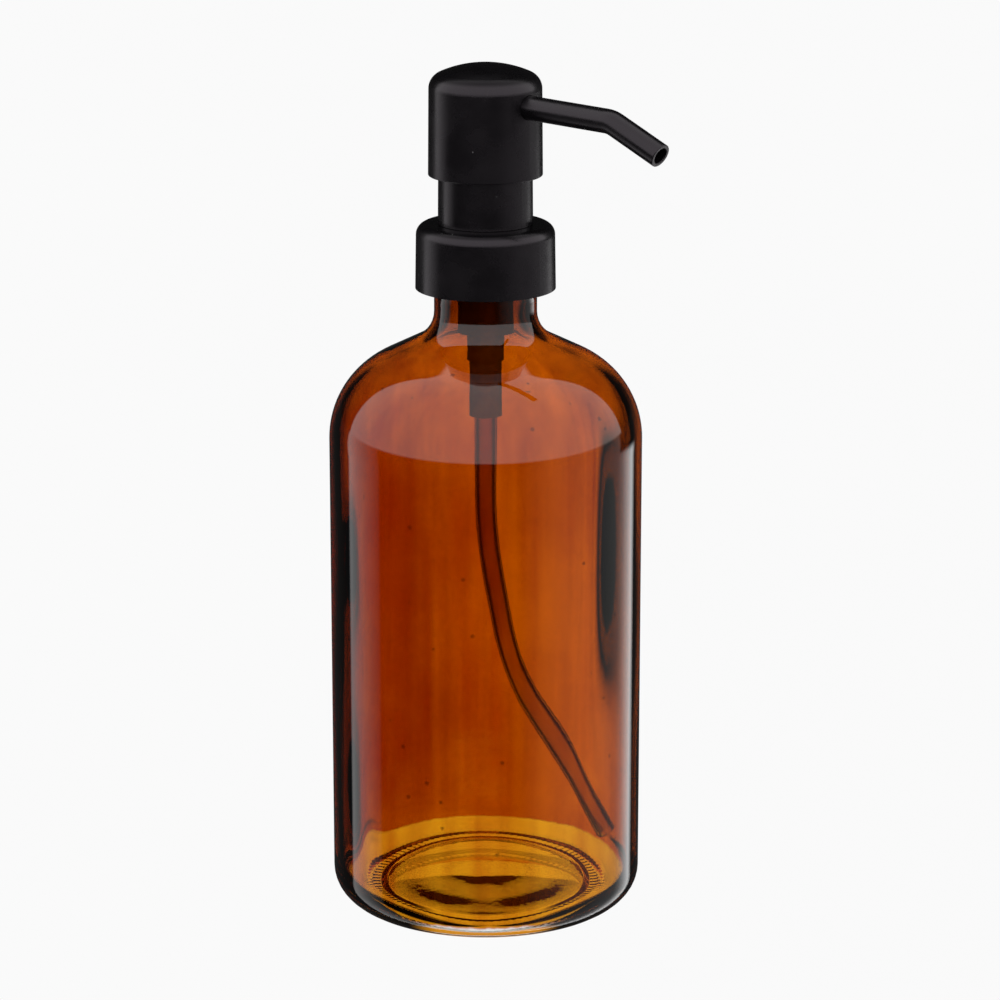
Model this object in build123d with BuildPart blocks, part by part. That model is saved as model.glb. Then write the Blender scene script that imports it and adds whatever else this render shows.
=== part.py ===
from build123d import *
import os
from math import cos, radians, sin, tan

# Soap pump dispenser: a round glass bottle with a screwed-on piston pump.
# Millimetres. The origin is the centre of the ring that the bottle stands on,
# +Z is up the bottle's axis and +X is the way the spout points.

# Gap between parts that pass each other without touching
CLEARANCE = 0.1

# Bottle
BODY_RADIUS = 37.5
HEEL_RADIUS = 8.0
GLASS_WALL = 2.5
SHOULDER_CORNER_HEIGHT = 130.1
SHOULDER_RADIUS = 22.3
SHOULDER_SLOPE = 26.6
NECK_RADIUS = 12.25
NECK_FILLET = 7.3
NECK_BORE_RADIUS = 9.6
FINISH_RADIUS = 12.5
FINISH_FOOT_HEIGHT = 151.2
FINISH_LEAD_HEIGHT = 1.0
RIM_HEIGHT = 164.4
RIM_FILLET = 0.8
BEARING_RING_RADIUS = 25.5
BASE_PANEL_RADIUS = 24.0
BASE_PANEL_FILLET = 1.0
BEARING_RING_FILLET = 0.5
PUSH_UP = 1.0
FLOOR_HEIGHT = 6.0
INNER_HEEL_RADIUS = 5.0

# Neck thread, one start, right-handed
THREAD_PITCH = 4.233
THREAD_TURNS = 1.25
THREAD_HEIGHT = THREAD_PITCH * THREAD_TURNS
THREAD_CREST_RADIUS = 13.7
THREAD_START_HEIGHT = 156.3
THREAD_BASE_HALF_WIDTH = 1.2
THREAD_CREST_HALF_WIDTH = 0.45
THREAD_EMBED = 0.4

# Closure collar
COLLAR_BOTTOM_HEIGHT = 152.9
COLLAR_TOP_HEIGHT = 168.4
COLLAR_BOTTOM_RADIUS = 16.7
COLLAR_TOP_RADIUS = 16.45
COLLAR_CORNER_RADIUS = 2.65
SHEET = 0.6
COLLAR_HOLE_RADIUS = 8.6
INSERT_RADIUS = 15.8
INSERT_BOTTOM_HEIGHT = 153.3
INSERT_BORE_RADIUS = 14.05
INSERT_THREAD_CREST_RADIUS = 12.95
INSERT_THREAD_BASE_HALF_WIDTH = 0.85
INSERT_THREAD_CREST_HALF_WIDTH = 0.4
INSERT_THREAD_DROP = 1.75

# Stack under the collar, from the glass rim up
GASKET_THICKNESS = 1.0
FLANGE_THICKNESS = 1.2
FLANGE_RADIUS = 13.2
FLANGE_BOTTOM_HEIGHT = RIM_HEIGHT + GASKET_THICKNESS
FLANGE_TOP_HEIGHT = FLANGE_BOTTOM_HEIGHT + FLANGE_THICKNESS

# Pump housing: a barrel, a spring seat below it and a socket for the dip tube
BARREL_RADIUS = 6.5
BARREL_BORE_RADIUS = 5.5
BARREL_BOTTOM_HEIGHT = 142.0
SEAT_RADIUS = 4.25
SEAT_BORE_RADIUS = 3.25
SEAT_BOTTOM_HEIGHT = 134.3
SEAT_LEDGE_HEIGHT = 135.3
SOCKET_RADIUS = 3.75
SOCKET_BOTTOM_HEIGHT = 121.5
SOCKET_LEDGE_HEIGHT = 129.0
INLET_RADIUS = 1.4
INLET_CONE_HEIGHT = 130.8
BALL_WELL_RADIUS = 2.75
TURRET_RADIUS = 8.2
TURRET_TOP_HEIGHT = 171.3
VENT_RADIUS = 0.5
VENT_HEIGHT = 162.6

# Dip tube
DIP_TUBE_RADIUS = 2.6
DIP_TUBE_BORE_RADIUS = 1.8
DIP_TUBE_AZIMUTH = 45
DIP_TUBE_ROUTE = [(0, SOCKET_LEDGE_HEIGHT), (0, 92), (6, 58), (30, 15)]
DIP_TUBE_BENDS = [120, 70]

# Valve balls
INLET_BALL_RADIUS = 2.0
OUTLET_BALL_RADIUS = 1.5
BALL_SEAT_GAP = 0.03
CAGE_THICKNESS = 1.0
CAGE_HOLE_RADIUS = 2.3
CAGE_BAR_WIDTH = 0.8

# Housing cap, guide sleeve and stem wiper
CAP_RADIUS = 10.5
CAP_WALL = 1.0
CAP_BOTTOM_HEIGHT = COLLAR_TOP_HEIGHT + CLEARANCE
CAP_WEB_HEIGHT = 171.5
CAP_WEB_THICKNESS = 1.5
CAP_GUIDE_RADIUS = 4.9
CAP_GUIDE_BOTTOM_HEIGHT = 164.0
SLEEVE_BOTTOM_RADIUS = 11.27
SLEEVE_TOP_RADIUS = 11.15
SLEEVE_TOP_HEIGHT = 182.3
SLEEVE_LIP_RADIUS = 9.6
WIPER_RADIUS = 4.6
WIPER_THICKNESS = 1.1

# Stem, rod and piston, at the top of the stroke
STEM_RADIUS = 3.0
STEM_CLEARANCE = 0.05
STEM_CHANNEL_RADIUS = 1.35
STEM_TOP_HEIGHT = 195.0
STEM_BOTTOM_HEIGHT = 157.0
STEM_STOP_RADIUS = 4.3
STEM_STOP_HEIGHT = 162.5
STEM_STOP_THICKNESS = 1.4
VALVE_WELL_RADIUS = 2.0
VALVE_WELL_TOP_HEIGHT = 164.2
VALVE_SLOT_WIDTH = 1.0
VALVE_SLOT_HEIGHT = 2.0
ROD_TOP_HEIGHT = 160.0
ROD_CHANNEL_RADIUS = 1.0
ROD_SEAT_CHAMFER = 0.5
ROD_FLANGE_RADIUS = 3.7
ROD_FLANGE_HEIGHT = 154.3
ROD_FLANGE_THICKNESS = 1.2
ROD_BOTTOM_HEIGHT = 149.0
ROD_PILOT_RADIUS = 2.0
PISTON_BOTTOM_HEIGHT = 155.6
PISTON_TOP_HEIGHT = 162.4
PISTON_LIP_RADIUS = 5.45
PISTON_HUB_RADIUS = 4.1
PISTON_WEB_THICKNESS = 1.6
PISTON_LIP_WALL = 0.6

# Return spring
SPRING_MEAN_RADIUS = 2.65
SPRING_WIRE_RADIUS = 0.4
SPRING_TURNS = 8
SPRING_BOTTOM_HEIGHT = SEAT_LEDGE_HEIGHT + CAGE_THICKNESS
SPRING_HEIGHT = ROD_FLANGE_HEIGHT - SPRING_BOTTOM_HEIGHT

# Push head
HEAD_BOTTOM_HEIGHT = 180.0
HEAD_TOP_HEIGHT = 206.4
HEAD_BOTTOM_RADIUS = 13.55
HEAD_SHOULDER_RADIUS = 13.35
HEAD_DOME_RISE = 3.5
HEAD_CORNER_RADIUS = 4.0
HEAD_SHEET = 0.65
CORE_RADIUS = 12.6
CORE_SKIRT_RADIUS = 11.6
CORE_BOTTOM_HEIGHT = 181.2
CORE_TOP_HEIGHT = 202.4
CORE_WEB_THICKNESS = 1.4
CORE_CORNER_RADIUS = 3.2
CORE_FLOOR_HEIGHT = 193.2
HUB_RADIUS = 5.8
HUB_BOTTOM_HEIGHT = 183.6
CHAMBER_TOP_HEIGHT = 199.0
RIB_COUNT = 6
RIB_THICKNESS = 1.0
RIB_EMBED = 0.5

# Spout
SPOUT_RADIUS = 2.85
SPOUT_BORE_RADIUS = 1.95
SPOUT_AXIS_HEIGHT = 197.6
SPOUT_TILT = 1.4
SPOUT_START = 4.8
SPOUT_BEND_DISTANCE = 37.7
SPOUT_TIP_TILT = 23.7
SPOUT_TIP_LENGTH = 15.6
SPOUT_BEND_RADIUS = 7.0
SPOUT_BOSS_RADIUS = 4.3
SEAL_DISTANCE = 8.6
SEAL_SECTION_RADIUS = 0.35
SEAL_GROOVE_WIDTH = 0.9

EDGE_ROUND = 0.2


def ring(inner_radius, outer_radius, bottom, top):
    """The half section of a plain ring, in the current sketch."""
    with Locations(((inner_radius + outer_radius) / 2, (bottom + top) / 2)):
        Rectangle(outer_radius - inner_radius, top - bottom)


def thread(root_radius, crest_radius, base_half_width, crest_half_width, start_height):
    """A screw thread of trapezoidal section, added to the current part."""
    with BuildLine(Plane.XY.offset(start_height)) as path:
        Helix(THREAD_PITCH, THREAD_HEIGHT, root_radius)
    depth = crest_radius - root_radius
    embed = THREAD_EMBED if depth > 0 else -THREAD_EMBED
    section = Plane(origin=path.line @ 0, x_dir=(1, 0, 0), z_dir=path.line % 0)
    with BuildSketch(section) as profile:
        with BuildLine():
            Polyline(
                (-embed, -base_half_width),
                (0, -base_half_width),
                (depth, -crest_half_width),
                (depth, crest_half_width),
                (0, base_half_width),
                (-embed, base_half_width),
                close=True,
            )
        make_face()
    sweep(profile.sketch, path=path.line, is_frenet=True)


# Bottle: the outer wall and the cavity are turned about the axis.
neck_corner_height = SHOULDER_CORNER_HEIGHT + (BODY_RADIUS - NECK_RADIUS) * tan(
    radians(SHOULDER_SLOPE)
)
cavity_radius = BODY_RADIUS - GLASS_WALL
cavity_shoulder_height = (
    SHOULDER_CORNER_HEIGHT
    + GLASS_WALL * tan(radians(SHOULDER_SLOPE))
    - GLASS_WALL / cos(radians(SHOULDER_SLOPE))
)
cavity_neck_height = cavity_shoulder_height + (cavity_radius - NECK_BORE_RADIUS) * tan(
    radians(SHOULDER_SLOPE)
)
floor_edge_radius = cavity_radius - INNER_HEEL_RADIUS

with BuildPart() as bottle:
    with BuildSketch(Plane.XZ):
        with BuildLine():
            FilletPolyline(
                (0, PUSH_UP),
                (BASE_PANEL_RADIUS, PUSH_UP),
                (BEARING_RING_RADIUS, 0),
                (BODY_RADIUS - HEEL_RADIUS, 0),
                radius=[BASE_PANEL_FILLET, BEARING_RING_FILLET],
            )
            CenterArc((BODY_RADIUS - HEEL_RADIUS, HEEL_RADIUS), HEEL_RADIUS, -90, 90)
            FilletPolyline(
                (BODY_RADIUS, HEEL_RADIUS),
                (BODY_RADIUS, SHOULDER_CORNER_HEIGHT),
                (NECK_RADIUS, neck_corner_height),
                (NECK_RADIUS, FINISH_FOOT_HEIGHT),
                radius=[SHOULDER_RADIUS, NECK_FILLET],
            )
            Polyline(
                (NECK_RADIUS, FINISH_FOOT_HEIGHT),
                (FINISH_RADIUS, FINISH_FOOT_HEIGHT + FINISH_LEAD_HEIGHT),
                (FINISH_RADIUS, RIM_HEIGHT),
                (0, RIM_HEIGHT),
                (0, PUSH_UP),
            )
        make_face()
    revolve(axis=Axis.Z)
    with BuildSketch(Plane.XZ):
        with BuildLine():
            Line((0, FLOOR_HEIGHT), (floor_edge_radius, FLOOR_HEIGHT))
            CenterArc(
                (floor_edge_radius, FLOOR_HEIGHT + INNER_HEEL_RADIUS),
                INNER_HEEL_RADIUS,
                -90,
                90,
            )
            FilletPolyline(
                (cavity_radius, FLOOR_HEIGHT + INNER_HEEL_RADIUS),
                (cavity_radius, cavity_shoulder_height),
                (NECK_BORE_RADIUS, cavity_neck_height),
                (NECK_BORE_RADIUS, RIM_HEIGHT),
                radius=[SHOULDER_RADIUS - GLASS_WALL, NECK_FILLET + GLASS_WALL],
            )
            Polyline(
                (NECK_BORE_RADIUS, RIM_HEIGHT),
                (0, RIM_HEIGHT),
                (0, FLOOR_HEIGHT),
            )
        make_face()
    revolve(axis=Axis.Z, mode=Mode.SUBTRACT)
    rim_edges = bottle.edges().filter_by(GeomType.CIRCLE).group_by(Axis.Z)[-1]
    fillet(rim_edges, radius=RIM_FILLET)
    thread(
        FINISH_RADIUS,
        THREAD_CREST_RADIUS,
        THREAD_BASE_HALF_WIDTH,
        THREAD_CREST_HALF_WIDTH,
        THREAD_START_HEIGHT,
    )

# Closure collar: a metal skin over a threaded plastic insert.
with BuildPart() as collar_shell:
    with BuildSketch(Plane.XZ):
        with BuildLine():
            FilletPolyline(
                (COLLAR_BOTTOM_RADIUS, COLLAR_BOTTOM_HEIGHT),
                (COLLAR_TOP_RADIUS, COLLAR_TOP_HEIGHT),
                (COLLAR_HOLE_RADIUS, COLLAR_TOP_HEIGHT),
                radius=COLLAR_CORNER_RADIUS,
            )
            offset(amount=SHEET, side=Side.LEFT)
        make_face()
    revolve(axis=Axis.Z)

with BuildPart() as collar_insert:
    with BuildSketch(Plane.XZ):
        ring(INSERT_BORE_RADIUS, INSERT_RADIUS, INSERT_BOTTOM_HEIGHT, FLANGE_TOP_HEIGHT)
        ring(COLLAR_HOLE_RADIUS, INSERT_RADIUS, FLANGE_TOP_HEIGHT, COLLAR_TOP_HEIGHT - SHEET)
    revolve(axis=Axis.Z)
    top_edge = collar_insert.edges().filter_by(GeomType.CIRCLE).group_by(Axis.Z)[-1]
    fillet(top_edge.sort_by(SortBy.RADIUS)[-1], radius=COLLAR_CORNER_RADIUS - SHEET)
    thread(
        INSERT_BORE_RADIUS,
        INSERT_THREAD_CREST_RADIUS,
        INSERT_THREAD_BASE_HALF_WIDTH,
        INSERT_THREAD_CREST_HALF_WIDTH,
        THREAD_START_HEIGHT - INSERT_THREAD_DROP,
    )

with BuildPart() as neck_gasket:
    with BuildSketch(Plane.XZ):
        ring(BARREL_RADIUS + CLEARANCE, FLANGE_RADIUS, RIM_HEIGHT, FLANGE_BOTTOM_HEIGHT)
    revolve(axis=Axis.Z)

# Pump housing: turned outside and bored out in steps, with a vent near the top.
with BuildPart() as pump_housing:
    with BuildSketch(Plane.XZ):
        ring(0, SOCKET_RADIUS, SOCKET_BOTTOM_HEIGHT, SEAT_BOTTOM_HEIGHT)
        ring(0, SEAT_RADIUS, SEAT_BOTTOM_HEIGHT, BARREL_BOTTOM_HEIGHT)
        ring(0, BARREL_RADIUS, BARREL_BOTTOM_HEIGHT, FLANGE_BOTTOM_HEIGHT)
        ring(0, FLANGE_RADIUS, FLANGE_BOTTOM_HEIGHT, FLANGE_TOP_HEIGHT)
        ring(0, TURRET_RADIUS, FLANGE_TOP_HEIGHT, TURRET_TOP_HEIGHT)
    revolve(axis=Axis.Z)
    with BuildSketch(Plane.XZ):
        with BuildLine():
            Polyline(
                (0, SOCKET_BOTTOM_HEIGHT),
                (DIP_TUBE_RADIUS, SOCKET_BOTTOM_HEIGHT),
                (DIP_TUBE_RADIUS, SOCKET_LEDGE_HEIGHT),
                (INLET_RADIUS, SOCKET_LEDGE_HEIGHT),
                (INLET_RADIUS, INLET_CONE_HEIGHT),
                (BALL_WELL_RADIUS, INLET_CONE_HEIGHT + BALL_WELL_RADIUS - INLET_RADIUS),
                (BALL_WELL_RADIUS, SEAT_LEDGE_HEIGHT),
                (SEAT_BORE_RADIUS, SEAT_LEDGE_HEIGHT),
                (SEAT_BORE_RADIUS, BARREL_BOTTOM_HEIGHT),
                (BARREL_BORE_RADIUS, BARREL_BOTTOM_HEIGHT + BARREL_BORE_RADIUS - SEAT_BORE_RADIUS),
                (BARREL_BORE_RADIUS, TURRET_TOP_HEIGHT),
                (0, TURRET_TOP_HEIGHT),
                close=True,
            )
        make_face()
    revolve(axis=Axis.Z, mode=Mode.SUBTRACT)
    with BuildSketch(Plane.XZ):
        with Locations((0, VENT_HEIGHT)):
            Circle(VENT_RADIUS)
    extrude(amount=-BARREL_RADIUS, mode=Mode.SUBTRACT)

# Dip tube: straight in its socket, then bent towards the foot of the wall.
dip_azimuth = radians(DIP_TUBE_AZIMUTH)
dip_plane = Plane(
    origin=(0, 0, 0),
    x_dir=(cos(dip_azimuth), sin(dip_azimuth), 0),
    z_dir=(sin(dip_azimuth), -cos(dip_azimuth), 0),
)
with BuildPart() as dip_tube:
    with BuildLine(dip_plane) as dip_path:
        FilletPolyline(*DIP_TUBE_ROUTE, radius=DIP_TUBE_BENDS)
    with BuildSketch(Plane(origin=dip_path.line @ 0, z_dir=dip_path.line % 0)):
        Circle(DIP_TUBE_RADIUS)
        Circle(DIP_TUBE_BORE_RADIUS, mode=Mode.SUBTRACT)
    sweep(path=dip_path.line)

# Housing cap: grips the turret, guides the stem and backs the sleeve.
cap_web_top_height = CAP_WEB_HEIGHT + CAP_WEB_THICKNESS
cap_top_height = SLEEVE_TOP_HEIGHT - SHEET - CLEARANCE
guide_bore_radius = STEM_RADIUS + STEM_CLEARANCE
with BuildPart() as housing_cap:
    with BuildSketch(Plane.XZ):
        ring(TURRET_RADIUS, CAP_RADIUS, CAP_BOTTOM_HEIGHT, CAP_WEB_HEIGHT)
        ring(guide_bore_radius, CAP_RADIUS, CAP_WEB_HEIGHT, cap_web_top_height)
        ring(CAP_RADIUS - CAP_WALL, CAP_RADIUS, cap_web_top_height, cap_top_height)
        ring(guide_bore_radius, CAP_GUIDE_RADIUS, CAP_GUIDE_BOTTOM_HEIGHT, CAP_WEB_HEIGHT)
        with Locations((0, cap_web_top_height)):
            Rectangle(2 * WIPER_RADIUS, 2 * WIPER_THICKNESS, mode=Mode.SUBTRACT)
    revolve(axis=Axis.Z)

with BuildPart() as stem_wiper:
    with BuildSketch(Plane.XZ):
        ring(guide_bore_radius, WIPER_RADIUS, cap_web_top_height - WIPER_THICKNESS, cap_web_top_height)
    revolve(axis=Axis.Z)

with BuildPart() as guide_sleeve:
    with BuildSketch(Plane.XZ):
        with BuildLine():
            FilletPolyline(
                (SLEEVE_BOTTOM_RADIUS, CAP_BOTTOM_HEIGHT),
                (SLEEVE_TOP_RADIUS, SLEEVE_TOP_HEIGHT),
                (SLEEVE_LIP_RADIUS, SLEEVE_TOP_HEIGHT),
                radius=SHEET + EDGE_ROUND,
            )
            offset(amount=SHEET, side=Side.LEFT)
        make_face()
    revolve(axis=Axis.Z)

# Inlet valve: a ball on the cone of the housing, under a cage that carries the spring.
seat_contact = cos(radians(45))
inlet_ball_height = (
    INLET_CONE_HEIGHT - INLET_RADIUS + INLET_BALL_RADIUS / seat_contact + BALL_SEAT_GAP
)
with BuildPart(Plane.XY.offset(inlet_ball_height)) as inlet_ball:
    Sphere(INLET_BALL_RADIUS)

with BuildPart() as ball_cage:
    with BuildSketch(Plane.XY.offset(SEAT_LEDGE_HEIGHT)):
        Circle(SEAT_BORE_RADIUS)
        Circle(CAGE_HOLE_RADIUS, mode=Mode.SUBTRACT)
        Rectangle(2 * CAGE_HOLE_RADIUS + CAGE_BAR_WIDTH, CAGE_BAR_WIDTH)
        Rectangle(CAGE_BAR_WIDTH, 2 * CAGE_HOLE_RADIUS + CAGE_BAR_WIDTH)
    extrude(amount=CAGE_THICKNESS)

# Return spring, with both ends ground flat.
with BuildPart() as return_spring:
    with BuildLine(Plane.XY.offset(SPRING_BOTTOM_HEIGHT)) as coil:
        Helix(SPRING_HEIGHT / SPRING_TURNS, SPRING_HEIGHT, SPRING_MEAN_RADIUS)
    with BuildSketch(Plane(origin=coil.line @ 0, x_dir=(1, 0, 0), z_dir=coil.line % 0)):
        Circle(SPRING_WIRE_RADIUS)
    sweep(path=coil.line, is_frenet=True)
    with BuildSketch(Plane.XY.offset(SPRING_BOTTOM_HEIGHT)):
        Circle(SEAT_BORE_RADIUS)
    extrude(amount=SPRING_HEIGHT, mode=Mode.INTERSECT)

# Piston: a hub on the stem, a web and two lips that face up and down.
piston_middle = (PISTON_BOTTOM_HEIGHT + PISTON_TOP_HEIGHT) / 2
with BuildPart() as piston:
    with BuildSketch(Plane.XZ):
        ring(guide_bore_radius, PISTON_HUB_RADIUS, PISTON_BOTTOM_HEIGHT, PISTON_TOP_HEIGHT)
        ring(
            guide_bore_radius,
            PISTON_LIP_RADIUS,
            piston_middle - PISTON_WEB_THICKNESS / 2,
            piston_middle + PISTON_WEB_THICKNESS / 2,
        )
        ring(
            PISTON_LIP_RADIUS - PISTON_LIP_WALL,
            PISTON_LIP_RADIUS,
            PISTON_BOTTOM_HEIGHT,
            PISTON_TOP_HEIGHT,
        )
    revolve(axis=Axis.Z)

# Piston rod: hollow, pressed into the stem, with a flange that the spring lifts.
rod_flange_top_height = ROD_FLANGE_HEIGHT + ROD_FLANGE_THICKNESS
with BuildPart() as piston_rod:
    with BuildSketch(Plane.XZ):
        ring(ROD_CHANNEL_RADIUS, ROD_PILOT_RADIUS, ROD_BOTTOM_HEIGHT, ROD_FLANGE_HEIGHT)
        ring(ROD_CHANNEL_RADIUS, ROD_FLANGE_RADIUS, ROD_FLANGE_HEIGHT, rod_flange_top_height)
        ring(ROD_CHANNEL_RADIUS, STEM_RADIUS, rod_flange_top_height, STEM_BOTTOM_HEIGHT)
        ring(ROD_CHANNEL_RADIUS, VALVE_WELL_RADIUS, STEM_BOTTOM_HEIGHT, ROD_TOP_HEIGHT)
    revolve(axis=Axis.Z)
    seat_edge = piston_rod.edges().filter_by(GeomType.CIRCLE).group_by(Axis.Z)[-1]
    chamfer(seat_edge.sort_by(SortBy.RADIUS)[0], length=ROD_SEAT_CHAMFER)

# Stem: hollow, with a stop ring over the piston and a valve well at its foot.
with BuildPart() as stem:
    with BuildSketch(Plane.XZ):
        ring(STEM_CHANNEL_RADIUS, STEM_RADIUS, STEM_BOTTOM_HEIGHT, STEM_TOP_HEIGHT)
        ring(
            STEM_CHANNEL_RADIUS,
            STEM_STOP_RADIUS,
            STEM_STOP_HEIGHT,
            STEM_STOP_HEIGHT + STEM_STOP_THICKNESS,
        )
    revolve(axis=Axis.Z)
    with BuildSketch(Plane.XY.offset(STEM_BOTTOM_HEIGHT)):
        Circle(VALVE_WELL_RADIUS)
    extrude(amount=VALVE_WELL_TOP_HEIGHT - STEM_BOTTOM_HEIGHT, mode=Mode.SUBTRACT)
    with BuildSketch(Plane.XY.offset(VALVE_WELL_TOP_HEIGHT)):
        Rectangle(2 * VALVE_WELL_RADIUS, VALVE_SLOT_WIDTH)
        Rectangle(VALVE_SLOT_WIDTH, 2 * VALVE_WELL_RADIUS)
    extrude(amount=VALVE_SLOT_HEIGHT, mode=Mode.SUBTRACT)

# Outlet valve: a ball on the chamfered mouth of the rod.
rod_seat_radius = ROD_CHANNEL_RADIUS + ROD_SEAT_CHAMFER
outlet_ball_height = (
    ROD_TOP_HEIGHT - rod_seat_radius + OUTLET_BALL_RADIUS / seat_contact + BALL_SEAT_GAP
)
with BuildPart(Plane.XY.offset(outlet_ball_height)) as outlet_ball:
    Sphere(OUTLET_BALL_RADIUS)

# Push head: a domed metal shell over a ribbed plastic core.
spout_plane = Plane(
    origin=(0, 0, SPOUT_AXIS_HEIGHT),
    x_dir=(0, 1, 0),
    z_dir=(cos(radians(SPOUT_TILT)), 0, -sin(radians(SPOUT_TILT))),
)
dome_edge_height = HEAD_TOP_HEIGHT - HEAD_DOME_RISE
with BuildPart() as head_shell:
    with BuildSketch(Plane.XZ) as head_section:
        with BuildLine():
            Polyline(
                (0, HEAD_TOP_HEIGHT),
                (0, HEAD_BOTTOM_HEIGHT),
                (HEAD_BOTTOM_RADIUS, HEAD_BOTTOM_HEIGHT),
                (HEAD_SHOULDER_RADIUS, dome_edge_height),
            )
            dome_radius = (HEAD_SHOULDER_RADIUS**2 + HEAD_DOME_RISE**2) / (2 * HEAD_DOME_RISE)
            RadiusArc((HEAD_SHOULDER_RADIUS, dome_edge_height), (0, HEAD_TOP_HEIGHT), -dome_radius)
        make_face()
        dome_corner = head_section.vertices().sort_by(Axis.X)[-2:].sort_by(Axis.Y)[-1]
        fillet(dome_corner, radius=HEAD_CORNER_RADIUS)
    revolve(axis=Axis.Z)
    offset(amount=-HEAD_SHEET, openings=head_shell.faces().sort_by(Axis.Z)[0])
    with BuildSketch(spout_plane):
        Circle(SPOUT_RADIUS + CLEARANCE)
    extrude(amount=2 * HEAD_BOTTOM_RADIUS, mode=Mode.SUBTRACT)
    rim = head_shell.edges().filter_by(GeomType.CIRCLE).group_by(Axis.Z)[0]
    fillet(rim, radius=EDGE_ROUND)

core_web_height = CORE_TOP_HEIGHT - CORE_WEB_THICKNESS
with BuildPart() as actuator_core:
    with BuildSketch(Plane.XZ):
        ring(0, CORE_RADIUS, CORE_BOTTOM_HEIGHT, CORE_TOP_HEIGHT)
    revolve(axis=Axis.Z)
    crown = actuator_core.edges().filter_by(GeomType.CIRCLE).group_by(Axis.Z)[-1]
    fillet(crown, radius=CORE_CORNER_RADIUS)
    with BuildSketch(Plane.XY.offset(CORE_BOTTOM_HEIGHT)):
        Circle(CORE_SKIRT_RADIUS)
    extrude(amount=core_web_height - CORE_BOTTOM_HEIGHT, mode=Mode.SUBTRACT)
    with BuildSketch(Plane.XY.offset(HUB_BOTTOM_HEIGHT)):
        Circle(HUB_RADIUS)
    extrude(amount=core_web_height - HUB_BOTTOM_HEIGHT)
    with BuildSketch(Plane.XY.offset(CORE_FLOOR_HEIGHT)):
        with PolarLocations((HUB_RADIUS + CORE_SKIRT_RADIUS) / 2, RIB_COUNT):
            Rectangle(CORE_SKIRT_RADIUS - HUB_RADIUS + 2 * RIB_EMBED, RIB_THICKNESS)
        with Locations((CORE_SKIRT_RADIUS / 2, 0)):
            Rectangle(CORE_SKIRT_RADIUS, 2 * SPOUT_BOSS_RADIUS)
    extrude(amount=core_web_height - CORE_FLOOR_HEIGHT)
    with BuildSketch(Plane.XY.offset(HUB_BOTTOM_HEIGHT)):
        Circle(STEM_RADIUS)
    extrude(amount=STEM_TOP_HEIGHT - HUB_BOTTOM_HEIGHT, mode=Mode.SUBTRACT)
    with BuildSketch(Plane.XY.offset(STEM_TOP_HEIGHT)):
        Circle(SPOUT_BORE_RADIUS)
    extrude(amount=CHAMBER_TOP_HEIGHT - STEM_TOP_HEIGHT, mode=Mode.SUBTRACT)
    with BuildSketch(spout_plane):
        Circle(SPOUT_BORE_RADIUS)
    extrude(amount=SPOUT_START, mode=Mode.SUBTRACT)
    with BuildSketch(spout_plane.offset(SPOUT_START)):
        Circle(SPOUT_RADIUS)
    extrude(amount=CORE_RADIUS, mode=Mode.SUBTRACT)
    with BuildSketch(spout_plane.offset(SEAL_DISTANCE - SEAL_GROOVE_WIDTH / 2)):
        Circle(SPOUT_RADIUS + 2 * SEAL_SECTION_RADIUS)
    extrude(amount=SEAL_GROOVE_WIDTH, mode=Mode.SUBTRACT)

# Spout: a tube with one bend, square cut at the tip.
spout_run = Vector(cos(radians(SPOUT_TILT)), 0, -sin(radians(SPOUT_TILT)))
spout_tip_run = Vector(cos(radians(SPOUT_TIP_TILT)), 0, -sin(radians(SPOUT_TIP_TILT)))
spout_base = Vector(0, 0, SPOUT_AXIS_HEIGHT)
spout_inlet = spout_base + spout_run * SPOUT_START
spout_bend = spout_base + spout_run * SPOUT_BEND_DISTANCE
spout_tip = spout_bend + spout_tip_run * SPOUT_TIP_LENGTH
with BuildPart() as spout_tube:
    with BuildLine() as spout_path:
        FilletPolyline(spout_inlet, spout_bend, spout_tip, radius=SPOUT_BEND_RADIUS)
    with BuildSketch(spout_plane.offset(SPOUT_START)):
        Circle(SPOUT_RADIUS)
        Circle(SPOUT_BORE_RADIUS, mode=Mode.SUBTRACT)
    sweep(path=spout_path.line)
    tip_edges = spout_tube.faces().sort_by(Axis.X)[-1].edges()
    fillet(tip_edges, radius=EDGE_ROUND)

with BuildPart(spout_plane.offset(SEAL_DISTANCE)) as spout_seal:
    Torus(SPOUT_RADIUS + SEAL_SECTION_RADIUS, SEAL_SECTION_RADIUS)

pieces = {
    "bottle": bottle,
    "collar_shell": collar_shell,
    "collar_insert": collar_insert,
    "neck_gasket": neck_gasket,
    "pump_housing": pump_housing,
    "dip_tube": dip_tube,
    "housing_cap": housing_cap,
    "stem_wiper": stem_wiper,
    "guide_sleeve": guide_sleeve,
    "inlet_ball": inlet_ball,
    "ball_cage": ball_cage,
    "return_spring": return_spring,
    "piston": piston,
    "piston_rod": piston_rod,
    "stem": stem,
    "outlet_ball": outlet_ball,
    "head_shell": head_shell,
    "actuator_core": actuator_core,
    "spout_tube": spout_tube,
    "spout_seal": spout_seal,
}
os.makedirs("parts", exist_ok=True)
for name, piece in pieces.items():
    piece.part.label = name
    export_step(piece.part, f"parts/{name}.step")
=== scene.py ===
"""Looks of the soap pump dispenser: an amber coated glass bottle with a black metal-clad pump."""

import math

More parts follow.
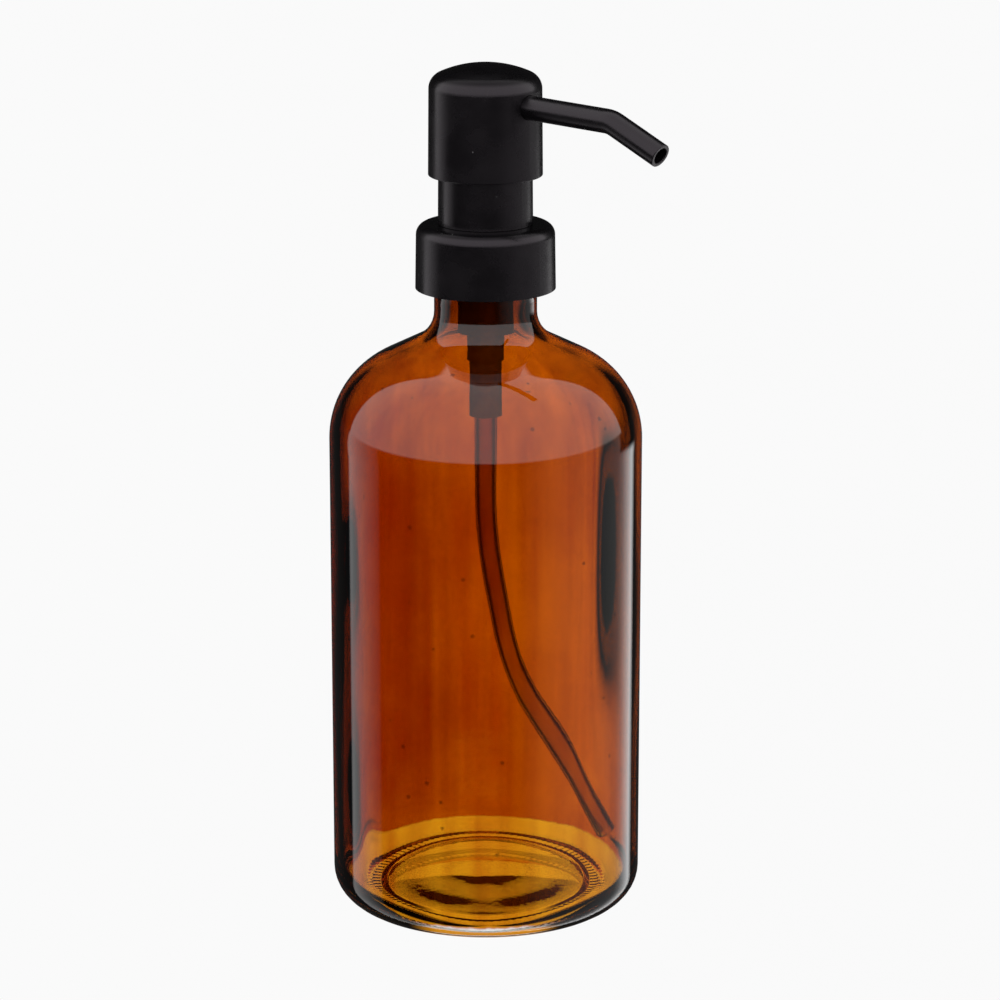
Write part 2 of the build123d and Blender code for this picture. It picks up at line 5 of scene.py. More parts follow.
import bpy
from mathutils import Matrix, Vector


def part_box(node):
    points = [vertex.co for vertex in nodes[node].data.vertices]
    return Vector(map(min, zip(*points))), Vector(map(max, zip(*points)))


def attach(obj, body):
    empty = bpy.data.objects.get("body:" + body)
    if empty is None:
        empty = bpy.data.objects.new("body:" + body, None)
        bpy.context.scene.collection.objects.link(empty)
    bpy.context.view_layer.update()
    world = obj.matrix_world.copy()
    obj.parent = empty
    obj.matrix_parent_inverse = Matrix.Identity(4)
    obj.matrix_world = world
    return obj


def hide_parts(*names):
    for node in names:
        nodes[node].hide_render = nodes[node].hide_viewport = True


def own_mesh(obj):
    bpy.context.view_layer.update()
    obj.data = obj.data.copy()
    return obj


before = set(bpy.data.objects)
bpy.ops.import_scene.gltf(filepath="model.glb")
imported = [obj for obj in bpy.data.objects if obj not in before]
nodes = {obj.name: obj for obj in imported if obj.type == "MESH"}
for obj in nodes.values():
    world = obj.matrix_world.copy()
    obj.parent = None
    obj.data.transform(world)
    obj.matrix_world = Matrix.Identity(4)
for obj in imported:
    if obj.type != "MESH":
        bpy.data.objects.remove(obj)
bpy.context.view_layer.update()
MM = 0.001

# ---------------------------------------------------------------- camera

CAMERA_AZIMUTH = math.radians(40)
CAMERA_PITCH = 0.268
CAMERA_DISTANCE = 0.9
CAMERA_HEIGHT = 0.3476
CAMERA_OFFSET = 0.00343
CAMERA_LENS = 139.4
CAMERA_REACH = 30
SENSOR_WIDTH = 36


def around(bearing):
    """The level direction this many degrees from the camera's side, towards the picture's right."""
    angle = CAMERA_AZIMUTH + math.radians(bearing)
    return Vector((math.sin(angle), -math.cos(angle), 0))


FRONT = around(0)
RIGHT = around(90)
BACK = around(180)


def make_camera():
    """A long lens, looking a little down, with the spout pointing right and forward."""
    data = bpy.data.cameras.new("camera")
    data.lens = CAMERA_LENS
    data.sensor_width = SENSOR_WIDTH
    data.clip_end = CAMERA_REACH
    camera = bpy.data.objects.new("camera", data)
    bpy.context.scene.collection.objects.link(camera)
    camera.location = FRONT * CAMERA_DISTANCE + RIGHT * CAMERA_OFFSET
    camera.location.z = CAMERA_HEIGHT
    camera.rotation_euler = (math.pi / 2 - CAMERA_PITCH, 0, CAMERA_AZIMUTH)
    bpy.context.scene.camera = camera


# ---------------------------------------------------------------- node helpers


def grey(value):
    """A neutral colour."""
    return (value, value, value, 1.0)


class Nodes:
    """A short way to write a node tree: each method adds a node and returns its output."""

    def __init__(self, tree):
        self.tree = tree
        tree.nodes.clear()

    def add(self, kind, inputs=None, output=0, **settings):
        made = self.tree.nodes.new(kind)
        for key, value in settings.items():
            setattr(made, key, value)
        for key, value in (inputs or {}).items():
            self.feed(made.inputs[key], value)
        return made.outputs[output] if made.outputs else None

    def feed(self, socket, value):
        """Links another node's output to a socket, or sets the socket to a plain value."""
        if isinstance(value, bpy.types.NodeSocket):
            self.tree.links.new(value, socket)
        else:
            socket.default_value = value

    def math(self, operation, a, b=0.0, c=0.0):
        return self.add("ShaderNodeMath", {0: a, 1: b, 2: c}, operation=operation)

    def place(self):
        return self.add("ShaderNodeTexCoord", output="Object")

    def upward(self, vector):
        """The upward part of a vector."""
        return self.add("ShaderNodeSeparateXYZ", {"Vector": vector}, output="Z")

    def dot(self, vector, fixed):
        inputs = {0: vector, 1: fixed}
        return self.add("ShaderNodeVectorMath", inputs, output="Value", operation="DOT_PRODUCT")

    def stretch(self, where, scale):
        return self.add("ShaderNodeMapping", {"Vector": where, "Scale": scale})

    def noise(self, where, scale, detail=3.0, roughness=0.5):
        inputs = {"Vector": where, "Scale": scale, "Detail": detail, "Roughness": roughness}
        return self.add("ShaderNodeTexNoise", inputs)

    def spots(self, where, scale):
        """The distance to the nearest of many scattered points, in cells of the scale."""
        inputs = {"Vector": where, "Scale": scale}
        return self.add("ShaderNodeTexVoronoi", inputs, output="Distance")

    def ramp(self, value, low, high, to_low=0.0, to_high=1.0):
        """A smooth step from to_low at low to to_high at high."""
        inputs = {"Value": value, 1: low, 2: high, 3: to_low, 4: to_high}
        return self.add("ShaderNodeMapRange", inputs, interpolation_type="SMOOTHSTEP")

    def curve(self, value, stops):
        """The brightness at this value, between stops given as (value, brightness).

        A new ramp has two stops: the first is used again, and the last is dropped.
        """
        made = self.tree.nodes.new("ShaderNodeValToRGB")
        self.feed(made.inputs["Fac"], value)
        elements = made.color_ramp.elements
        for index, (position, brightness) in enumerate(stops):
            stop = elements[0] if index == 0 else elements.new(position)
            stop.position = position
            stop.color = grey(brightness)
        elements.remove(elements[-1])
        return made.outputs["Color"]

    def blend(self, factor, a, b):
        """A number between a and b."""
        return self.add("ShaderNodeMix", {"Factor": factor, 2: a, 3: b}, data_type="FLOAT")

    def mix(self, factor, a, b):
        """A colour between a and b."""
        inputs = {"Factor": factor, 6: a, 7: b}
        return self.add("ShaderNodeMix", inputs, output=2, data_type="RGBA")

    def bump(self, height, distance, strength=1.0, normal=None):
        inputs = {"Height": height, "Distance": distance, "Strength": strength}
        if normal is not None:
            inputs["Normal"] = normal
        return self.add("ShaderNodeBump", inputs)

    def surface(self, shader):
        """Ends a material with this shader."""
        self.add("ShaderNodeOutputMaterial", {"Surface": shader})

    def principled(self, inputs):
        """Ends a material with a Principled shader that has these inputs."""
        self.surface(self.add("ShaderNodeBsdfPrincipled", inputs))


def new_material(name):
    """A material, and the helper that writes its nodes."""
    made = bpy.data.materials.new(name)
    made.use_nodes = True
    return made, Nodes(made.node_tree)


# ---------------------------------------------------------------- materials

# Heights over which the dip tube's painted shade comes in.
TUBE_SHADE_START = 48 * MM
TUBE_SHADE_FULL = 82 * MM

COAT_LOW = 3.6 * MM
COAT_HIGH = 4.8 * MM
COAT_RAGGED = 1.2 * MM
THIN_BEARING = 112
THIN_PER_METRE = 2.8
SHOULDER_LOW = 122 * MM
SHOULDER_HIGH = 142 * MM
NECK_SHADE_LOW = 140 * MM
NECK_SHADE_HIGH = 147 * MM

AMBER_THICK = (0.19, 0.0095, 0.00001, 1)
AMBER_THIN = (0.50, 0.092, 0.00006, 1)
AMBER_EDGE = (0.05, 0.0015, 0.00001, 1)
# Painted shade: the dark amber of the neck below the collar.
AMBER_NECK_SHADE = (0.06, 0.0018, 0.00001, 1)
AMBER_SEED = (0.04, 0.002, 0.00001, 1)
BARE_GLASS = (0.93, 0.95, 0.93, 1)


def coated_metal(name, seed, painted_top_shine=0.14):
    """Satin black coating with an orange-peel skin and specks of dust, with painted shade on faces
    that point up: their shine is turned down to keep the tops dark.
    """
    made, n = new_material(name)
    where = n.add("ShaderNodeMapping", {"Vector": n.place(), "Location": (seed, seed, seed)})
    cloud = n.noise(where, 120.0, 4.0)
    chosen = n.ramp(n.noise(where, 300.0, 0.0), 0.66, 0.72)
    dust = n.math("MULTIPLY", n.ramp(n.spots(where, 420.0), 0.05, 0.11, 1.0, 0.0), chosen)
    base = n.mix(cloud, (0.0018, 0.0015, 0.0019, 1), (0.0036, 0.0032, 0.0038, 1))
    satin = n.ramp(cloud, 0.3, 0.7, 0.24, 0.30)
    upward = n.upward(n.add("ShaderNodeNewGeometry", output="Normal"))
    grain = n.bump(n.noise(where, 2600.0, 2.0), 0.00003, 0.35)
    peel = n.bump(n.noise(where, 420.0, 2.0), 0.00005, 0.25, grain)
    n.principled(
        {
            "Base Color": n.mix(n.math("MULTIPLY", dust, 0.55), base, grey(0.12)),
            "Roughness": n.math("ADD", satin, n.math("MULTIPLY", dust, 0.3)),
            "Normal": peel,
            # Painted shade: less shine where the surface faces up, so the tops stay dark.
            "Specular IOR Level": n.ramp(upward, 0.50, 0.75, 0.40, painted_top_shine),
            "Specular Tint": (1.0, 0.88, 0.98, 1),
        }
    )
    return made


def moulded_plastic(name, dark, light, roughness, clear=0.0):
    """Moulded plastic with faint flow marks and a fine matt skin."""
    made, n = new_material(name)
    where = n.place()
    flow = n.noise(n.stretch(where, (1, 1, 0.25)), 260.0)
    n.principled(
        {
            "Base Color": n.mix(flow, dark, light),
            "Roughness": n.ramp(flow, 0.2, 0.8, roughness - 0.05, roughness + 0.08),
            "Normal": n.bump(n.noise(where, 3000.0, 2.0), 0.00002, 0.3),
            "Transmission Weight": clear,
            "IOR": 1.5,
        }
    )
    return made


def tube_plastic(name):
    """See-through polyethylene, pale at the foot and browner towards the top, where the brown is
    painted shade for the darker surroundings seen through the tube.
    """
    made, n = new_material(name)
    where = n.place()
    height = n.upward(where)
    flow = n.noise(n.stretch(where, (1, 1, 0.25)), 260.0)
    # Painted shade: the tube turns browner towards the top for the darker surroundings it shows.
    lower_colour = n.mix(flow, (0.84, 0.74, 0.68, 1), (0.92, 0.86, 0.80, 1))
    shaded_colour = n.mix(flow, (0.66, 0.44, 0.40, 1), (0.78, 0.58, 0.50, 1))
    n.principled(
        {
            "Base Color": n.mix(n.ramp(height, TUBE_SHADE_START, TUBE_SHADE_FULL), lower_colour, shaded_colour),
            "Roughness": n.ramp(flow, 0.2, 0.8, 0.08, 0.18),
            "Normal": n.bump(n.noise(where, 3000.0, 2.0), 0.00002, 0.3),
            "Transmission Weight": 0.95,
            "IOR": n.ramp(height, TUBE_SHADE_START, TUBE_SHADE_FULL, 1.34, 1.40),
        }
    )
    return made


def rubber(name):
    """Dull dark rubber with a cloudy, fine-grained skin."""
    made, n = new_material(name)
    where = n.place()
    cloud = n.noise(where, 500.0)
    n.principled(
        {
            "Base Color": n.mix(cloud, grey(0.02), grey(0.035)),
            "Roughness": n.ramp(cloud, 0.2, 0.8, 0.6, 0.8),
            "Normal": n.bump(n.noise(where, 4000.0), 0.00002, 0.4),
        }
    )
    return made


def bare_steel(name, roughness):
    """Drawn or polished stainless steel with fine, level marks."""
    made, n = new_material(name)
    marks = n.noise(n.stretch(n.place(), (1, 1, 8)), 1500.0)
    n.principled(
        {
            "Base Color": n.mix(marks, grey(0.5), grey(0.66)),
            "Metallic": 1.0,
            "Roughness": n.ramp(marks, 0.2, 0.8, roughness, roughness + 0.12),
            "Normal": n.bump(marks, 0.000008, 0.3),
        }
    )
    return made


def amber_coat(n, where, height):
    """The coating's colour: thin on one side and the shoulder, dark at edges and seeds, and painted
    shade at the neck below the collar.
    """
    cloud = n.noise(where, 14.0, 5.0, 0.6)
    streak = n.noise(n.stretch(where, (1, 1, 0.05)), 160.0)
    thin = n.math("ADD", n.math("MULTIPLY", cloud, 0.6), n.math("MULTIPLY", streak, 0.4))
    side = n.math("MULTIPLY", n.dot(where, around(THIN_BEARING)), THIN_PER_METRE)
    thin = n.math("ADD", thin, side)
    thin = n.math("ADD", thin, n.ramp(height, SHOULDER_LOW, SHOULDER_HIGH, 0.0, 0.10))
    amber = n.mix(n.ramp(thin, 0.32, 0.72), AMBER_THICK, AMBER_THIN)
    facing = n.add("ShaderNodeLayerWeight", {"Blend": 0.5}, output="Facing")
    amber = n.mix(n.ramp(facing, 0.70, 0.92), amber, AMBER_EDGE)
    # Painted shade: the coat darkens up the neck, where the collar shades it.
    amber = n.mix(n.ramp(height, NECK_SHADE_LOW, NECK_SHADE_HIGH, 0.0, 0.85), amber, AMBER_NECK_SHADE)
    rare = n.ramp(n.noise(where, 70.0, 1.0), 0.46, 0.54, 0.0, 0.085)
    seeds = n.ramp(n.math("SUBTRACT", rare, n.spots(where, 150.0)), -0.01, 0.01)
    return n.mix(n.math("MULTIPLY", seeds, 0.75), amber, AMBER_SEED)


def coated_glass(name):
    """Clear glass with a see-through amber coating that fades out under the heel."""
    made, n = new_material(name)
    where = n.place()
    height = n.upward(where)
    amber = amber_coat(n, where, height)
    ragged = n.math("MULTIPLY_ADD", n.noise(where, 400.0), COAT_RAGGED, height)
    coat = n.ramp(ragged, COAT_LOW + COAT_RAGGED / 2, COAT_HIGH + COAT_RAGGED / 2)
    waves = n.noise(n.stretch(where, (1, 1, 0.3)), 90.0, 2.0)
    n.principled(
        {
            "Base Color": n.mix(coat, BARE_GLASS, amber),
            "Roughness": 0.0,
            "IOR": 1.5,
            "Transmission Weight": 1.0,
            "Normal": n.bump(waves, 0.00004, 0.2),
        }
    )
    return made


def clear_glass(name):
    """The bare inner face of the glass."""
    made, n = new_material(name)
    streak = n.noise(n.stretch(n.place(), (1, 1, 0.05)), 420.0, 2.0)
    n.principled(
        {
            "Base Color": n.mix(streak, (0.97, 0.98, 0.97, 1), (1, 1, 1, 1)),
            "Roughness": 0.0,
            "IOR": 1.5,
            "Transmission Weight": 1.0,
            "Normal": n.bump(streak, 0.00003, 0.3),
        }
    )
    return made


# ---------------------------------------------------------------- new meshes


def new_object(name, points, faces, materials):
    """A mesh object of this name, in the scene."""
    mesh = bpy.data.meshes.new(name)
    mesh.from_pydata(points, [], faces)
    for material in materials:
        mesh.materials.append(material)
    made = bpy.data.objects.new(name, mesh)
    bpy.context.scene.collection.objects.link(made)
    return made


def hump(offset):
    """A smooth bump: 1 in the middle, and 0 from an offset of 1 outwards."""
    return (1 + math.cos(math.pi * min(1.0, abs(offset)))) / 2


# ---------------------------------------------------------------- the glass bottle

# The even shape, which is the CAD bottle's.
BODY_RADIUS = 37.5 * MM
RIM_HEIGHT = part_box("bottle")[1].z
WALL = 2.5 * MM
HEEL_RADIUS = 8.0 * MM
SHOULDER_CORNER = 130.1 * MM
SHOULDER_RADIUS = 22.3 * MM
SHOULDER_SLOPE = math.radians(26.6)
NECK_RADIUS = 12.25 * MM
NECK_FILLET = 7.3 * MM
NECK_BORE = 9.6 * MM
FINISH_RADIUS = 12.5 * MM
FINISH_FOOT = 151.2 * MM
FINISH_BEVEL = 1.0 * MM
FINISH_FILLET = 0.3 * MM
RIM_FILLET = 0.8 * MM
RIM_MIDDLE = (FINISH_RADIUS + NECK_BORE) / 2
RING_INNER = 25.5 * MM
RING_FILLET = 0.5 * MM
PANEL_RADIUS = 24.0 * MM
PANEL_FILLET = 1.0 * MM
PUSH_UP = 1.0 * MM
FLOOR = 6.0 * MM
INNER_HEEL = 5.0 * MM

# The neck thread.
THREAD_PITCH = 4.233 * MM
THREAD_TURNS = 1.25
THREAD_START = 156.3 * MM
THREAD_DEPTH = 1.2 * MM
THREAD_HALF_WIDTH = 1.2 * MM
THREAD_FADE_TURNS = 1 / 12

# The knurls of the bearing ring.
KNURLS = 96
KNURL_ROWS = 2
KNURL_START = 0.6 * MM
KNURL_PITCH = 1.2 * MM
KNURL_HEIGHT = 0.35 * MM

# The floor: it slopes up to the back and drops at the front of the heel, and it has a low swell
# behind the middle and a plateau that is lower towards the camera.
FLOOR_SLOPE = 0.09072
SLOPE_REACH = 60.0 * MM
HEEL_DROP = 1.1 * MM
HEEL_DROP_START = 23.0 * MM
HEEL_DROP_LENGTH = 12.0 * MM
SWELL = 0.30 * MM
SWELL_RADIUS = 17.0 * MM
SWELL_CENTRE = 6.0 * MM
PLATEAU = 0.15 * MM
PLATEAU_INNER = 16.0 * MM
PLATEAU_EDGE = 8.0 * MM
PLATEAU_LOSS = 0.45
PLATEAU_LOSS_WIDTH = 0.35

# The inner wall. A wave has its laps round the bottle, radians per metre up, phase and share.
# A hollow has its bearing and width in degrees, its height and reach, and its depth.
UNEVENNESS = 0.16 * MM
WAVES = [
    (2, 31, 0.7, 0.5),
    (3, -47, 2.1, 0.35),
    (5, 83, 4.0, 0.2),
    (11, 24, 1.0, 0.06),
    (23, -12, 0.0, 0.02),
]
HOLLOWS = [
    (41, 12, 95 * MM, 38 * MM, 10),
    (-54, 7, 92 * MM, 12 * MM, 4),
    (-54, 7, 34 * MM, 14 * MM, 4),
]
WALL_FADE_HEIGHT = 8.0 * MM
WALL_FADE_RADIUS = 20.0 * MM

SEGMENTS = 480
ROW_LENGTH = 1.2 * MM
LEAST_ARC_STEPS = 6
SAME_POINT = 1e-7
COATED = 0
BARE = 1


def rounded(points, radii):
    """The points of a polyline whose inner corners are rounded with the radii."""
    line = [Vector(points[0])]
    for before, corner, after, radius in zip(points, points[1:], points[2:], radii):
        corner = Vector(corner)
        a = (Vector(before) - corner).normalized()
        b = (Vector(after) - corner).normalized()
        half = a.angle(b) / 2
        centre = corner + (a + b).normalized() * (radius / math.sin(half))
        start = corner + a * (radius / math.tan(half)) - centre
        end = corner + b * (radius / math.tan(half)) - centre
        turn = start.angle_signed(end)
        steps = max(LEAST_ARC_STEPS, int(radius * abs(turn) / ROW_LENGTH))
        for i in range(steps + 1):
            angle = -turn * i / steps
            c, s = math.cos(angle), math.sin(angle)
            line.append(centre + Vector((start.x * c - start.y * s, start.x * s + start.y * c)))
    line.append(Vector(points[-1]))
    return line


def split_long(line):
    """The same line with no step longer than a row, and no point twice."""
    fine = [line[0]]
    for a, b in zip(line, line[1:]):
        steps = max(1, math.ceil((b - a).length / ROW_LENGTH))
        fine += [a.lerp(b, i / steps) for i in range(1, steps + 1)]
    apart = [p for before, p in zip(fine, fine[1:]) if (p - before).length > SAME_POINT]
    return [fine[0]] + apart


def outer_line():
    """Outer half section, from the middle of the base to the top of the rim."""
    neck_corner = SHOULDER_CORNER + (BODY_RADIUS - NECK_RADIUS) * math.tan(SHOULDER_SLOPE)
    wall = rounded(
        [
            (0, PUSH_UP),
            (PANEL_RADIUS, PUSH_UP),
            (RING_INNER, 0),
            (BODY_RADIUS, 0),
            (BODY_RADIUS, SHOULDER_CORNER),
            (NECK_RADIUS, neck_corner),
            (NECK_RADIUS, FINISH_FOOT),
        ],
        [PANEL_FILLET, RING_FILLET, HEEL_RADIUS, SHOULDER_RADIUS, NECK_FILLET],
    )
    finish = rounded(
        [
            (NECK_RADIUS, FINISH_FOOT),
            (FINISH_RADIUS, FINISH_FOOT + FINISH_BEVEL),
            (FINISH_RADIUS, RIM_HEIGHT),
            (RIM_MIDDLE, RIM_HEIGHT),
        ],
        [FINISH_FILLET, RIM_FILLET],
    )
    return split_long(wall + finish[1:])


def inner_line():
    """Inner half section, from the top of the rim down to the middle of the floor."""
    radius = BODY_RADIUS - WALL
    slope = math.tan(SHOULDER_SLOPE)
    shoulder = SHOULDER_CORNER + WALL * slope - WALL / math.cos(SHOULDER_SLOPE)
    neck = shoulder + (radius - NECK_BORE) * slope
    line = rounded(
        [
            (RIM_MIDDLE, RIM_HEIGHT),
            (NECK_BORE, RIM_HEIGHT),
            (NECK_BORE, neck),
            (radius, shoulder),
            (radius, FLOOR),
            (0, FLOOR),
        ],
        [RIM_FILLET, NECK_FILLET + WALL, SHOULDER_RADIUS - WALL, INNER_HEEL],
    )
    return split_long(line)


def thread_rise(angle, height):
    """How far the neck thread stands out at this angle and height."""
    rise = 0.0
    for lap in range(math.ceil(THREAD_TURNS)):
        turned = angle / (2 * math.pi) + lap
        fade = min(1.0, turned / THREAD_FADE_TURNS, (THREAD_TURNS - turned) / THREAD_FADE_TURNS)
        off = (height - THREAD_START - THREAD_PITCH * turned) / THREAD_HALF_WIDTH
        rise = max(rise, THREAD_DEPTH * fade * hump(off))
    return rise


def knurl_gap(angle, radius):
    """How far the bearing ring lies above the table, between its knurls."""
    row = (radius - RING_INNER - KNURL_START) / KNURL_PITCH
    if not 0 <= row <= KNURL_ROWS:
        return 0.0
    index = min(int(row), KNURL_ROWS - 1)
    across = math.sin(math.pi * (row - index)) ** 2
    along = math.sin(KNURLS * angle / 2 + index * math.pi / 2) ** 2
    edge = math.sin(math.pi * row / KNURL_ROWS) ** 0.5
    return KNURL_HEIGHT * edge * (1 - across * along)


def hollow(angle, height, bearing, width, middle, reach):
    """A soft hollow in the inside, 1 in its middle, which is at the bearing and the height."""
    off = math.remainder(angle - CAMERA_AZIMUTH + math.pi / 2 - math.radians(bearing), 2 * math.pi)
    return math.exp(-((off / math.radians(width)) ** 2) - ((height - middle) / reach) ** 2)


def blown(angle, height):
    """How far the blown inner wall lies outside its even shape."""
    depth = 0.0
    for laps, climb, phase, share in WAVES:
        depth += math.sin(laps * angle + climb * height + phase) * share
    for bearing, width, middle, reach, most in HOLLOWS:
        depth += hollow(angle, height, bearing, width, middle, reach) * most
    return depth * UNEVENNESS


def settled(angle, radius, height):
    """How far the blown inside lies above its even shape: it settled thicker at the back."""
    spot = Vector((radius * math.cos(angle), radius * math.sin(angle), 0))
    back = spot.dot(BACK)
    right = spot.dot(RIGHT)
    lift = FLOOR_SLOPE * back * max(0.0, 1 - height / SLOPE_REACH) ** 2
    lift -= HEEL_DROP * max(0.0, min(1.0, (-back - HEEL_DROP_START) / HEEL_DROP_LENGTH)) ** 2
    lift += SWELL * hump(math.hypot(right, back - SWELL_CENTRE) / SWELL_RADIUS)
    loss = PLATEAU_LOSS * math.exp(-((math.atan2(right, -back) / PLATEAU_LOSS_WIDTH) ** 2))
    lift += PLATEAU * (1 - loss) * hump(max(0.0, (radius - PLATEAU_INNER) / PLATEAU_EDGE))
    return lift


def glass_point(radius, height, angle, outside):
    """Where a point of the turned line goes: thread, knurls and uneven inside are added here."""
    if outside and height > FINISH_FOOT:
        radius += thread_rise(angle, height)
    elif outside and height < SAME_POINT:
        height += knurl_gap(angle, radius)
    elif not outside and height < FINISH_FOOT:
        fade = min(1.0, (FINISH_FOOT - height) / WALL_FADE_HEIGHT, radius / WALL_FADE_RADIUS)
        lift = settled(angle, radius, height)
        radius += blown(angle, height) * fade
        height += lift
    return (radius * math.cos(angle), radius * math.sin(angle), height)


def make_bottle():
    """The turned glass, with its thread, the knurled bearing ring and the uneven inside."""
    outer = outer_line()
    line = outer + inner_line()[1:]
    points = [(0, 0, line[0].y)]
    rings = []
    for index, p in enumerate(line[1:-1], start=1):
        rings.append(range(len(points), len(points) + SEGMENTS))
        for step in range(SEGMENTS):
            angle = 2 * math.pi * step / SEGMENTS
            points.append(glass_point(p.x, p.y, angle, index < len(outer)))
    last = len(points)
    points.append(glass_point(line[-1].x, line[-1].y, 0.0, False))
    faces, kinds = [], []
    for step in range(SEGMENTS):
        after = (step + 1) % SEGMENTS
        faces.append((0, rings[0][after], rings[0][step]))
        kinds.append(COATED)
        for number, (a, b) in enumerate(zip(rings, rings[1:])):
            faces.append((a[step], a[after], b[after], b[step]))
            kinds.append(COATED if number + 2 < len(outer) else BARE)
        faces.append((rings[-1][step], rings[-1][after], last))
        kinds.append(BARE)
    glass = [coated_glass("amber_coated_glass"), clear_glass("clear_glass")]
    bottle = new_object("bottle_glass", points, faces, glass)
    for face, kind in zip(bottle.data.polygons, kinds):
        face.material_index = kind
        face.use_smooth = True
    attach(bottle, "bottle")
    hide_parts("bottle")


# ---------------------------------------------------------------- return spring

SPRING_BOTTOM = 136.3 * MM
SPRING_TOP = 154.3 * MM
SPRING_RADIUS = 2.65 * MM
SPRING_TURNS = 8
SPRING_STEPS = 48
WIRE_RADIUS = 0.4 * MM
WIRE_SIDES = 14


def make_spring():
    """The return spring: a coil of round steel wire, carried with the pump."""
    points, faces = [], []
    steps = SPRING_TURNS * SPRING_STEPS
    climb = SPRING_TOP - SPRING_BOTTOM - 2 * WIRE_RADIUS
    for step in range(steps + 1):
        angle = 2 * math.pi * step / SPRING_STEPS
        height = SPRING_BOTTOM + WIRE_RADIUS + climb * step / steps
        for side in range(WIRE_SIDES):
            turn = 2 * math.pi * side / WIRE_SIDES
            radius = SPRING_RADIUS + WIRE_RADIUS * math.cos(turn)
            rise = WIRE_RADIUS * math.sin(turn)
            points.append((radius * math.cos(angle), radius * math.sin(angle), height + rise))
    for step in range(steps):
        a = step * WIRE_SIDES
        b = a + WIRE_SIDES
        for side in range(WIRE_SIDES):
            after = (side + 1) % WIRE_SIDES
            faces.append((a + side, b + side, b + after, a + after))
    faces.append(tuple(range(WIRE_SIDES)))
    faces.append(tuple(reversed(range(steps * WIRE_SIDES, (steps + 1) * WIRE_SIDES))))
    spring = new_object("spring_coil", points, faces, [bare_steel("spring_wire", 0.28)])
    for face in spring.data.polygons:
        face.use_smooth = len(face.vertices) == 4
    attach(spring, "pump")
    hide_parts("return_spring")
    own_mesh(spring)


# ---------------------------------------------------------------- finish of the CAD nodes


def dress_nodes():
    """Gives every CAD node that shows its material."""
    black = moulded_plastic("black_plastic", grey(0.012), grey(0.022), 0.45)
    pale, paler = (0.62, 0.62, 0.58, 1), (0.74, 0.74, 0.70, 1)
    natural = moulded_plastic("natural_plastic", pale, paler, 0.4, clear=0.2)
    tube = tube_plastic("tube_plastic")
    housing = moulded_plastic("housing_plastic", (0.15, 0.13, 0.11, 1), (0.22, 0.19, 0.16, 1), 0.4)
    seal = rubber("seal_rubber")
    ball = bare_steel("ball_steel", 0.08)
    finishes = {
        "collar_shell": coated_metal("collar_coating", 0.11),
        "guide_sleeve": coated_metal("sleeve_coating", 0.23),
        "head_shell": coated_metal("head_coating", 0.37),
        "spout_tube": coated_metal("spout_coating", 0.53, painted_top_shine=0.36),
        "collar_insert": black,
        "housing_cap": black,
        "actuator_core": black,
        "stem": black,
        "pump_housing": housing,
        "ball_cage": natural,
        "piston": natural,
        "piston_rod": natural,
        "dip_tube": tube,
        "neck_gasket": seal,
        "stem_wiper": seal,
        "spout_seal": seal,
        "inlet_ball": ball,
        "outlet_ball": ball,
    }
    for name, finish in finishes.items():
        nodes[name].material_slots[0].material = finish


# ---------------------------------------------------------------- studio

TABLE_HALF_SIZE = 8.0
HORIZON_LOW = -0.02
HORIZON_HIGH = 0.03
LIGHT_BELOW = 0.9

# Brightness of the room below the horizon, as reflections show it: the bearing in degrees, from
# the camera's side towards the picture's right, and the brightness.
ROOM = [
    (-121, 0.03),
    (-119, 1.35),
    (-86, 0.2),
    (-84, 0.0),
    (25, 0.0),
    (60, 0.26),
    (114, 0.45),
    (120, 0.8),
    (136, 2.7),
    (142, 0.03),
]
ROOM_MOST = 4.0
ROOM_DARK = 0.03


def stage_mesh(name, points, faces, material):
    """A mesh for the studio, made in the scene like any other new mesh."""
    made = new_object(name, points, faces, [material])
    return made


def make_floor():
    """A pale light table. Only the camera and the diffuse light see it."""
    table, n = new_material("floor")
    white = n.mix(n.noise(n.place(), 3.0), grey(0.950), grey(0.960))
    n.surface(n.add("ShaderNodeEmission", {"Color": white, "Strength": 1.0}))
    size = TABLE_HALF_SIZE
    corners = [(-size, -size, 0), (size, -size, 0), (size, size, 0), (-size, size, 0)]
    floor = stage_mesh("floor", corners, [(0, 1, 2, 3)], table)
    floor.visible_glossy = False
    floor.visible_transmission = False


def window(n, bearing, middle, inner, outer, bright, dark=0.0):
    """A bright upright window: full up to the inner angle off its middle, gone at the outer."""
    off = n.math("ABSOLUTE", n.math("SUBTRACT", bearing, middle))
    return n.ramp(off, inner, outer, bright, dark)


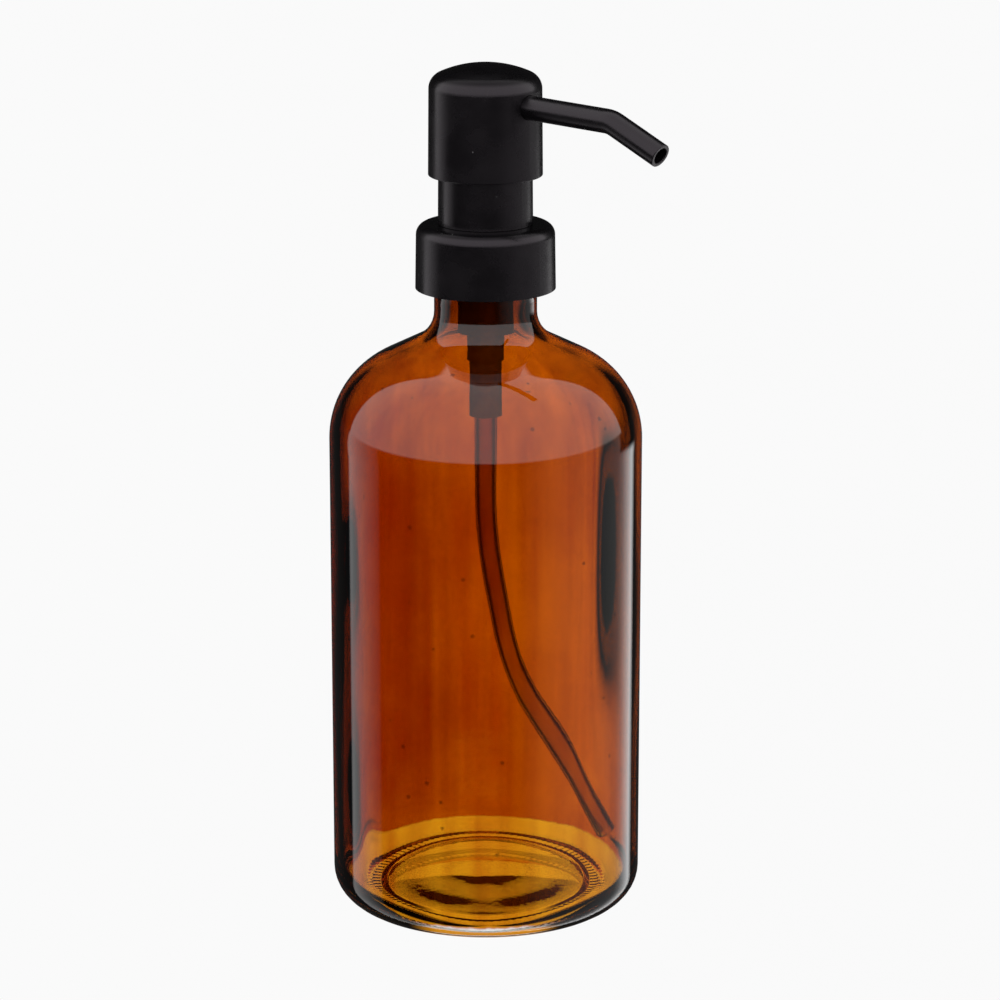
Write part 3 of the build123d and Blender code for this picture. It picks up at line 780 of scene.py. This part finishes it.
def mirrored_room(n, ahead, bearing, up):
    """What reflections show: a softbox on the camera's side, and the room below the horizon.

    A dark cover hides the room's brightest strip from near the horizon down to a height where
    only the bottle's straight wall mirrors it, so that it leaves the pump dark.
    """
    stops = [(angle / 360 + 0.5, brightness / ROOM_MOST) for angle, brightness in ROOM]
    room = n.curve(n.math("MULTIPLY_ADD", bearing, 1 / 360, 0.5), stops)
    room = n.math("MULTIPLY", room, ROOM_MOST)
    cover = window(n, bearing, middle=129.0, inner=12.0, outer=15.0, bright=1.0)
    cover = n.math("MULTIPLY", cover, n.ramp(up, -0.24, -0.17))
    room = n.blend(cover, room, ROOM_DARK)
    softbox = n.ramp(ahead, -0.50, -0.47, 0.015, 1.45)
    return n.blend(n.ramp(up, HORIZON_LOW, HORIZON_HIGH), room, softbox)


def seen_through(n, bearing):
    """What the glass lets through: windows behind the object, in front of it and at its sides."""
    either_side = n.math("ABSOLUTE", bearing)
    behind = window(n, either_side, middle=180.0, inner=12.0, outer=22.0, bright=1.2, dark=0.004)
    front = window(n, bearing, middle=5.0, inner=14.0, outer=26.0, bright=1.0)
    sides = window(n, either_side, middle=85.0, inner=8.0, outer=19.0, bright=0.6)
    return n.math("ADD", behind, n.math("ADD", front, sides))


def make_world():
    """A soft white room, dark where the glass must show dark edges."""
    world = bpy.data.worlds.new("studio")
    world.use_nodes = True
    bpy.context.scene.world = world
    n = Nodes(world.node_tree)
    where = n.add("ShaderNodeTexCoord", output="Generated")
    ahead = n.dot(where, FRONT)
    aside = n.dot(where, RIGHT)
    up = n.upward(where)
    bearing = n.math("DEGREES", n.math("ARCTAN2", aside, ahead))
    above = n.ramp(ahead, -0.3, -0.1, 0.3, 1.0)
    light = n.blend(n.ramp(up, HORIZON_LOW, HORIZON_HIGH), LIGHT_BELOW, above)
    path = n.tree.nodes.new("ShaderNodeLightPath")
    scattered = n.math("GREATER_THAN", path.outputs["Diffuse Depth"], 0.5)
    looked = n.blend(path.outputs["Is Glossy Ray"], light, mirrored_room(n, ahead, bearing, up))
    looked = n.blend(path.outputs["Is Transmission Ray"], looked, seen_through(n, bearing))
    seen = n.blend(scattered, looked, light)
    back = n.add("ShaderNodeBackground", {"Color": grey(1), "Strength": seen})
    n.add("ShaderNodeOutputWorld", {"Surface": back})


def make_studio():
    """The light and the table, with colours shown as they are."""
    make_world()
    make_floor()
    bpy.context.scene.view_settings.view_transform = "Standard"


make_camera()
make_bottle()
make_spring()
dress_nodes()
make_studio()
